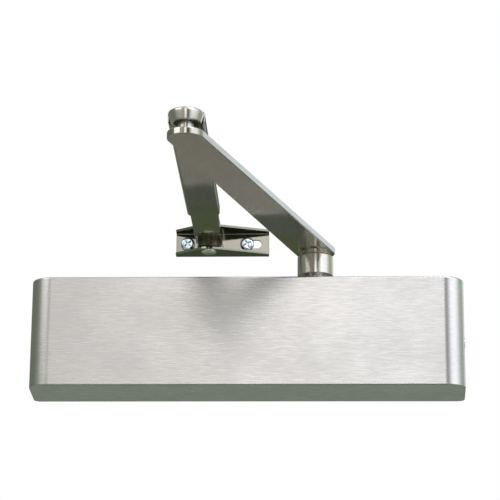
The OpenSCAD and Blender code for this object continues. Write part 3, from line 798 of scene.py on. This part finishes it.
@dataclass
class Forearm:
    """The round socket at the elbow, the sleeve riveted to it, and the screw that locks the rod."""

    foot_radius: float = 8.85
    shoulder: float = 1.6
    cavity: float = 7.2
    roof: float = 1.2
    corner: float = 2.2
    wall: float = 1.5
    clear: float = 10.15
    rivet_reach: Span = (18.0, 28.0)
    elbow: Vector = field(default_factory=lambda: axis_of("elbow_stud"))

    def socket(self) -> None:
        """Turn the socket, hollow it, and join on the tongue that runs into the sleeve."""
        low, high = box_mm("forearm_socket")
        radius = self.elbow.y - low.y
        outline = [(self.foot_radius - 0.25, low.z), (self.foot_radius, low.z + 0.2)]
        outline += [(radius, high.z - self.shoulder - 1), *rounded(radius, high.z, self.shoulder, 8)]
        cap = Workpiece.turned("elbow_cap", outline, 128)
        cap.bore(self.cavity, (low.z - 1, high.z - self.roof)).place(self.elbow)
        rod_low, rod_high = box_mm("adjusting_rod")
        start = (rod_low.x + 1, self.elbow.y + self.cavity + 1.2, rod_low.z)
        tongue = Workpiece.block("tongue", start, (rod_high.x - 1, high.y, rod_high.z))
        cap.combine([tongue], "UNION").ease(0.12, 2, 50)
        rings = LatheRings("at_elbow", self.elbow)
        cap.dress(Bodies.FOREARM, "polished_nickel", POLISHED_NICKEL, "forearm_socket", rings)

    def liner(self) -> None:
        """Mould the bush in the socket: a ring with eased mouths."""
        low, high = box_mm("socket_liner")
        outline = [(6.95, low.z + 0.3), (7.15, low.z + 0.5), (7.15, high.z - 0.1)]
        ring = Workpiece.turned("elbow_bush", outline).bore(4.66, past(low, high))
        ring.place(self.elbow).ease(0.12, 2, 50)
        # The bush's near-black green tone is partly painted shade for the gap under the cap.
        ring.dress(Bodies.FOREARM, "bush_plastic", GRAPHITE_NYLON_WITH_GAP_SHADE, "socket_liner")

    def sleeve(self) -> None:
        """Draw the sleeve: a bar with round long edges, hollow, and cut round to seat against the socket."""
        low, high = box_mm("forearm_sleeve")
        low.y = self.elbow.y + 2
        tube = Workpiece.block("forearm_tube", low, high)
        tube.bevel(self.corner, 8, lambda a, b: abs(a.y - b.y) > 1 and near(a.x, b.x) and near(a.z, b.z))
        skin = Vector((self.wall, -1, self.wall))
        inside = Workpiece.block("inside", low + skin, high - skin)
        tube.combine([inside]).bore(self.clear, past(low, high), self.elbow, 128).ease(0.3, 3, 50)
        tube.dress(Bodies.FOREARM, "satin_nickel", SATIN_NICKEL, "forearm_sleeve", ALONG_FOREARM)

    def rivets(self) -> None:
        """Head over one rivet, and copy it."""
        low, high = box_mm("sleeve_rivets")
        seat = high.z - 1.1
        outline = [(2.0, low.z), (2.0, seat), (3.3, seat + 0.01), *rounded(3.4, high.z, 1.0)]
        rivet = Workpiece.turned("sleeve_rivet", outline, 48)
        spots = [(0, (self.elbow.x, self.elbow.y + reach, 0), (0, 0, 0)) for reach in self.rivet_reach]
        rivet.pair("sleeve_rivet_pair", spots)
        rivet.dress(Bodies.FOREARM, "satin_nickel", SATIN_NICKEL, "sleeve_rivets")

    def lock_screw(self) -> None:
        """Turn a hexagon head with a chamfered crown, on its shank."""
        low, high = box_mm("length_lock_screw")
        seat = high.z - 4
        hexagon = Workpiece.turned("lock_screw", [(5.77, seat), (5.77, high.z)], 6)
        outline = [(5.1, seat - 0.25), (6.2, seat + 0.5), (6.2, high.z - 0.55), (5.0, high.z + 0.05)]
        hexagon.combine([Workpiece.turned("crown", outline, 64)], "INTERSECT")
        shank = Workpiece.turned("shank", [(2.7, low.z), (3.0, low.z + 0.4), (3.0, seat + 1)], 48)
        hexagon.combine([shank], "UNION").ease(0.08, 2, 50).place(axis_of("length_lock_screw"))
        hexagon.dress(Bodies.FOREARM, "zinc_screws", BLUE_ZINC, "length_lock_screw")

    def build(self) -> None:
        """Make the forearm's pieces."""
        self.socket()
        self.liner()
        self.sleeve()
        self.rivets()
        self.lock_screw()


@dataclass
class AdjustingRod:
    """The flat rod with its eye, and the bush and spacer that the foot's pin passes through."""

    eye: float = 5.5
    edge: float = 0.5
    pin: Vector = field(default_factory=lambda: axis_of("pivot_pin"))

    def bar(self) -> None:
        """Shape the rod: a block with one end rolled round, and drill its eye."""
        low, high = box_mm("adjusting_rod")
        radius = (high.x - low.x) / 2
        rod = Workpiece.block("length_rod", low, high)
        rod.bevel(radius * 0.999, 20, lambda a, b: stands_at(high.y, a, b))
        rod.bore(self.eye, past(low, high), self.pin).ease(self.edge, 4, 50)
        rod.dress(Bodies.ROD, "satin_nickel", SATIN_NICKEL, "adjusting_rod", ALONG_FOREARM)

    def bushes(self) -> None:
        """Turn the collared bush and the spacer above it."""
        rod = box_mm("adjusting_rod")[0].z
        rings = LatheRings("at_foot", self.pin, 0.5)
        low, high = box_mm("rod_bush")
        outline = [(7.5, low.z), (7.8, low.z + 0.3), (7.8, rod - 0.02), (5.48, rod - 0.01), (5.48, high.z)]
        bush = Workpiece.turned("eye_bush", outline).bore(4.05, past(low, high))
        bush.place(self.pin).dress(Bodies.ROD, "black_oxide", BLACK_OXIDE, "rod_bush", rings)
        low, high = box_mm("rod_spacer")
        outline = [(7.8, low.z + 0.01), (7.8, high.z - 0.3), (7.5, high.z)]
        spacer = Workpiece.turned("eye_spacer", outline).bore(5.5, past(low, high))
        spacer.place(self.pin).dress(Bodies.ROD, "black_oxide", BLACK_OXIDE, "rod_spacer", rings)

    def build(self) -> None:
        """Make the rod's pieces."""
        self.bar()
        self.bushes()


@dataclass
class FootBracket:
    """The folded bracket on the door frame, its riveted pin and its two cross-recess screws."""

    sheet: float = 1.7
    peak: float = 9.0
    end_depth: float = 6.5
    bend: float = 1.2
    hole: float = 2.9
    pin_hole: float = 4.02
    slot_reach: Span = (-3.0, 9.8)
    screw_head: float = 4.75
    screw_turns: Span = (40.0, 28.0)
    thread_pitch: float = 1.4
    pin: Vector = field(default_factory=lambda: axis_of("pivot_pin"))

    def screw_places(self) -> list[Vector]:
        """Find the two screws' axes.

        Returns:
            A point on each axis, at the bracket's front face.
        """
        low, high = box_mm("foot_screws")
        height = (low.z + high.z) / 2
        return [Vector((x, -self.sheet, height)) for x in (low.x + self.screw_head, high.x - self.screw_head)]

    def tangent(self, corner: Vector, side: int) -> Vector:
        """Find which way the slanted edge faces that runs from a flange's corner and touches its round peak.

        Args:
            corner: The corner, seen from above.
            side: -1 on the left and 1 on the right.

        Returns:
            The edge's outward normal.
        """
        centre = Vector((self.pin.x, box_mm("foot_bracket")[0].y + self.peak, 0))
        away = corner - centre
        turn = math.atan2(away.y, away.x) - side * math.acos(self.peak / away.length)
        return Vector((math.cos(turn), math.sin(turn), 0))

    def bracket(self) -> None:
        """Fold the bracket: its outline, rounded at the folds, emptied between its flanges and pierced."""
        low, high = box_mm("foot_bracket")
        body = Workpiece.block("foot_channel", low, high)
        corners = {-1: Vector((low.x, -self.end_depth, 0)), 1: Vector((high.x, -self.end_depth, 0))}
        for side, corner in corners.items():
            body.slice((corner.x, corner.y, low.z), self.tangent(corner, side))
        for side, corner in corners.items():
            rounding = self.peak * math.tan(math.acos(-self.tangent(corner, side).y) / 2)
            on_side = lambda a, b: stands_at(low.y, a, b) and side * (a.x - self.pin.x) > 0.5
            body.bevel(rounding * 0.97, 8, on_side)
        body.bevel(self.bend, 5, lambda a, b: lies_at(0, a, b))
        start = (low.x - 1, low.y - 1, low.z + self.sheet)
        channel = Workpiece.block("channel", start, (high.x + 1, -self.sheet, high.z - self.sheet))
        channel.bevel(0.35, 3, lambda a, b: lies_at(-self.sheet, a, b))
        left, right = self.screw_places()
        across = (-math.pi / 2, 0, 0)
        through = [(self.hole, -6.0), (self.hole, 6.0)]
        hole = Workpiece.turned("round_hole", through, 48).place((left.x, 0, left.z), across)
        start = Vector((right.x + self.slot_reach[0] + self.hole, 0, right.z))
        reach = Vector((self.slot_reach[1] - self.slot_reach[0] - 2 * self.hole, 0, 0))
        slot = Workpiece.turned("slot", through, 48).place(start, across).draw_out(start, reach)
        body.combine([channel, hole, slot]).bore(self.pin_hole, past(low, high), self.pin).ease(0.22, 3, 50)
        # The bracket takes the nickel darkened as painted shade.
        body.dress(Bodies.FOOT, "bracket_nickel", BRACKET_NICKEL_PAINTED_SHADE, "foot_bracket")

    def rivet_pin(self) -> None:
        """Turn the pin, with both its ends headed over."""
        low, high = box_mm("pivot_pin")
        flange = box_mm("foot_bracket")
        crown = [(2.2, 0), (3.6, 0.2), (4.6, 0.6), (5.2, 1.15)]
        outline = [(radius, low.z + depth) for radius, depth in crown]
        outline += [(5.3, flange[0].z - 0.2), (5.1, flange[0].z), (4.0, flange[0].z + 0.01)]
        outline += [(4.0, flange[1].z - 0.01), (5.1, flange[1].z), (5.3, flange[1].z + 0.2)]
        outline += [(radius, high.z - depth) for radius, depth in reversed(crown)]
        pin = Workpiece.turned("foot_pin", outline).place(self.pin)
        pin.dress(Bodies.FOOT, "polished_nickel", POLISHED_NICKEL, "pivot_pin")

    def screws(self) -> None:
        """Turn one pan-head screw with a tapered cross recess and a rolled thread, and copy it."""
        low, high = box_mm("foot_screws")
        tip, crown = -high.y, -low.y
        thread: list[Span] = [(0.35, tip)]
        height = tip
        while height < -2.6:
            core = 1.75 if height > tip + 3 else 0.5 + (height - tip) * 0.4
            thread += [(core, height + 0.55), (core + 0.62, height + 0.9), (core, height + 1.25)]
            height += self.thread_pitch
        thread = [step for step in thread if step[1] < -2.35] + [(2.3, -2.3), (2.3, self.sheet - 0.02)]
        head = [(self.screw_head - 0.15, self.sheet), *rounded(self.screw_head, crown, 1.9, 7)]
        screw = Workpiece.turned("foot_screw", [*thread, *head], 64)
        for turn in (0, math.pi / 2):
            blade = Workpiece.block("blade", (-3.1, -0.7, crown - 2.4), (3.1, 0.7, crown + 0.5))
            with blade.editing():
                blade.select("FACE", lambda centre, normal: normal.z < -0.99)
                bpy.ops.transform.resize(value=(0.45, 0.6, 1))
            screw.combine([blade.place((0, 0, 0), (0, 0, turn))])
        screw.ease(0.06, 2, 55)
        laid = (math.pi / 2, 0, 0)
        spots = [(turn, (x, 0, z), laid) for turn, (x, _, z) in zip(self.screw_turns, self.screw_places())]
        screw.pair("foot_screw_pair", spots)
        screw.dress(Bodies.FOOT, "zinc_screws", BLUE_ZINC, "foot_screws")

    def build(self) -> None:
        """Make the bracket's pieces."""
        self.bracket()
        self.rivet_pin()
        self.screws()


# ---------------- studio

# Tints of the room: daylight through glass, open sky, planting outside, and a painted wall.
GLASS = "F6F8FF"
SKY = "E6F2FA"
HEDGE = "E2F0D8"
WALL = "FFFDF8"


@dataclass
class Studio:
    """A pale floor, a soft room and the camera."""

    floor_z: float = -0.5
    floor_radius: float = 1.1
    middle: Point = (0, -0.12, 0)
    eye: tuple[float, float, float] = (0.04839, -1.31283, -0.32085)
    yaw: float = math.radians(2.10)
    pitch: float = math.radians(16.54)
    roll: float = math.radians(0.40)
    lens: float = 144.14

    def floor(self) -> None:
        """Lay a round pale floor that fades out at its rim."""
        deselect()
        under = Vector(self.middle) + Vector((0, 0, self.floor_z))
        bpy.ops.mesh.primitive_circle_add(vertices=128, radius=self.floor_radius, fill_type="NGON", location=under)
        disc = Workpiece("studio_floor")
        matt = {"Base Color": linear("EDEBE8"), "Roughness": 0.9, "Specular IOR Level": 0.1}
        paint, shader = start_material("matt_floor_paint", matt)
        tree = paint.node_tree
        place = add_node(tree, "ShaderNodeTexCoord", {}).outputs["Object"]
        flat = add_node(tree, "ShaderNodeMapping", {"Vector": place, "Scale": (1, 1, 0)})
        reach = add_node(tree, "ShaderNodeVectorMath", {0: flat.outputs[0]}, operation="LENGTH")
        rim = (self.floor_radius * 0.45, self.floor_radius * 0.88)
        fade = remap(tree, reach.outputs["Value"], rim, (1.0, 0.0), interpolation_type="SMOOTHSTEP")
        tree.links.new(fade, shader.inputs["Alpha"])
        disc.item.data.materials.append(paint)
        disc.item.visible_glossy = False

    def board(self) -> None:
        """Hang a dim olive glowing board behind the closer, seen only in the undersides that mirror it: a painted
        dark reflection, since the board is no lamp and the camera, diffuse light and shadows don't see it.
        """
        board = Workpiece.block("studio_board", (-900, 306, -72), (900, 310, 40))
        # The board's olive glow paints a dark reflection into the undersides that mirror it.
        glow = {"Emission Color": linear("4E5A41"), "Emission Strength": 1.0}
        glow_card_paint, _ = start_material("dark_felt", {"Base Color": linear("000000"), "Roughness": 1.0, **glow})
        board.item.data.materials.append(glow_card_paint)
        for kind in ("camera", "diffuse", "shadow"):
            setattr(board.item, f"visible_{kind}", False)

    def room(self) -> None:
        """Give the world its walls: plain white to look at, and soft panels for metal to mirror."""
        world = bpy.data.worlds.new("studio_room")
        bpy.context.scene.world = world
        world.use_nodes = True
        tree = world.node_tree
        tree.nodes.clear()
        way = add_node(tree, "ShaderNodeTexCoord", {}).outputs["Generated"]
        x, y, z = add_node(tree, "ShaderNodeSeparateXYZ", {0: way}).outputs
        turn = calculate(tree, "ARCTAN2", x, calculate(tree, "MULTIPLY", y, -1.0))
        share = remap(tree, turn, (-math.pi, math.pi))
        # Degrees round from straight in front, positive to the right; how bright the wall is there; its tint.
        panels = [
            (-180, 0.14, HEDGE), (-140, 0.24, HEDGE), (-92, 0.24, HEDGE), (-76, 0.34, HEDGE),
            (-58, 0.44, HEDGE), (-40, 0.5, WALL), (-24, 0.6, WALL), (-12, 0.44, WALL), (-7, 0.46, WALL),
            (-4, 1.5, WALL), (1, 1.95, WALL), (4, 2.1, GLASS), (8, 0.6, GLASS), (14, 0.1, HEDGE),
            (22, 0.14, HEDGE), (32, 0.8, GLASS), (42, 1.6, GLASS), (66, 1.65, GLASS), (78, 1.4, GLASS),
            (90, 0.95, GLASS), (102, 0.62, HEDGE), (134, 0.6, HEDGE), (140, 1.15, SKY), (154, 1.2, SKY),
            (166, 0.18, HEDGE), (180, 0.14, HEDGE),
        ]
        walls = add_node(tree, "ShaderNodeValToRGB", {0: share})
        ramp = walls.color_ramp
        for angle, _, _ in panels[1:-1]:
            ramp.elements.new((angle + 180) / 360)
        for element, (_, level, tint) in zip(ramp.elements, panels):
            red, green, blue, _ = linear(tint)
            element.color = (level * red, level * green, level * blue, 1.0)
        horizon = remap(tree, y, (-1.0, 0.6), (0.23, -0.07))
        height = calculate(tree, "ADD", z, horizon)
        rise = remap(tree, height, (-0.02, 0.02), interpolation_type="SMOOTHSTEP")
        lid = blend(tree, remap(tree, z, (0.5, 0.85)), walls.outputs[0], "D0D8DC")
        lawn = blend(tree, remap(tree, z, (-0.35, -0.43)), "1A2E0A", "C2C2AC")
        below = blend(tree, remap(tree, z, (-0.75, -0.85)), lawn, "4A4A40")
        ground = blend(tree, remap(tree, y, (-0.3, 0.3)), below, "889385")
        upper = blend(tree, rise, ground, lid)
        seen = add_node(tree, "ShaderNodeLightPath", {})
        mirrored = add_node(tree, "ShaderNodeBackground", {0: upper})
        plain = add_node(tree, "ShaderNodeBackground", {0: linear("FFFFFF")})
        inputs = {0: seen.outputs["Is Camera Ray"], 1: mirrored.outputs[0], 2: plain.outputs[0]}
        both = add_node(tree, "ShaderNodeMixShader", inputs)
        add_node(tree, "ShaderNodeOutputWorld", {0: both.outputs[0]})

    def lamp(self, name: str, azimuth: float, height: float, away: float, size: float, power: float) -> None:
        """Hang a soft lamp that looks at the closer.

        Args:
            name: The lamp's name.
            azimuth: Degrees round from straight in front, positive to the right.
            height: Degrees up from level.
            away: Distance in metres.
            size: Side of its panel in metres.
            power: Its power in watts.
        """
        data = bpy.data.lights.new(name, "AREA")
        data.size = size
        data.energy = power
        lamp = bpy.data.objects.new(name, data)
        a, h = math.radians(azimuth), math.radians(height)
        place = Vector((math.sin(a) * math.cos(h), -math.cos(a) * math.cos(h), math.sin(h))) * away
        lamp.location = place + Vector(self.middle)
        lamp.rotation_euler = (-place).to_track_quat("-Z", "Y").to_euler()
        bpy.context.scene.collection.objects.link(lamp)

    def camera(self) -> None:
        """Set the camera below the closer, looking up at it."""
        data = bpy.data.cameras.new("camera")
        data.lens = self.lens
        data.sensor_width = 36.0
        camera = bpy.data.objects.new("camera", data)
        bpy.context.scene.collection.objects.link(camera)
        turn = (
            Matrix.Rotation(self.yaw, 4, "Z")
            @ Matrix.Rotation(math.pi / 2 + self.pitch, 4, "X")
            @ Matrix.Rotation(self.roll, 4, "Z")
        )
        camera.matrix_world = Matrix.Translation(self.eye) @ turn
        bpy.context.scene.camera = camera

    def build(self) -> None:
        """Set up the studio."""
        self.floor()
        self.board()
        self.room()
        self.lamp("key_lamp", 35, 50, 1.8, 0.9, 12)
        self.lamp("fill_lamp", -50, 35, 2.0, 1.2, 8)
        self.camera()
        bpy.context.scene.view_settings.view_transform = "Standard"


def dress_nodes() -> None:
    """Give every CAD node that stays its finish."""
    for finish, nodes in NODE_FINISHES:
        for node in nodes:
            mesh = frame["nodes"][node].data
            mesh.materials.clear()
            mesh.materials.append(finish.material())
            LOG.info("%s keeps its CAD shape, in %s", node, finish.name)


def main() -> None:
    """Build the closer's pieces and its studio in order."""
    logging.basicConfig(level=logging.INFO, format="%(name)s: %(message)s")
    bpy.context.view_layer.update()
    Studio().build()
    dress_nodes()
    for part in (Housing(), MainArm(), Forearm(), AdjustingRod(), FootBracket()):
        part.build()
        LOG.info("%s is built", type(part).__name__)


if __name__ == "__main__":
    main()
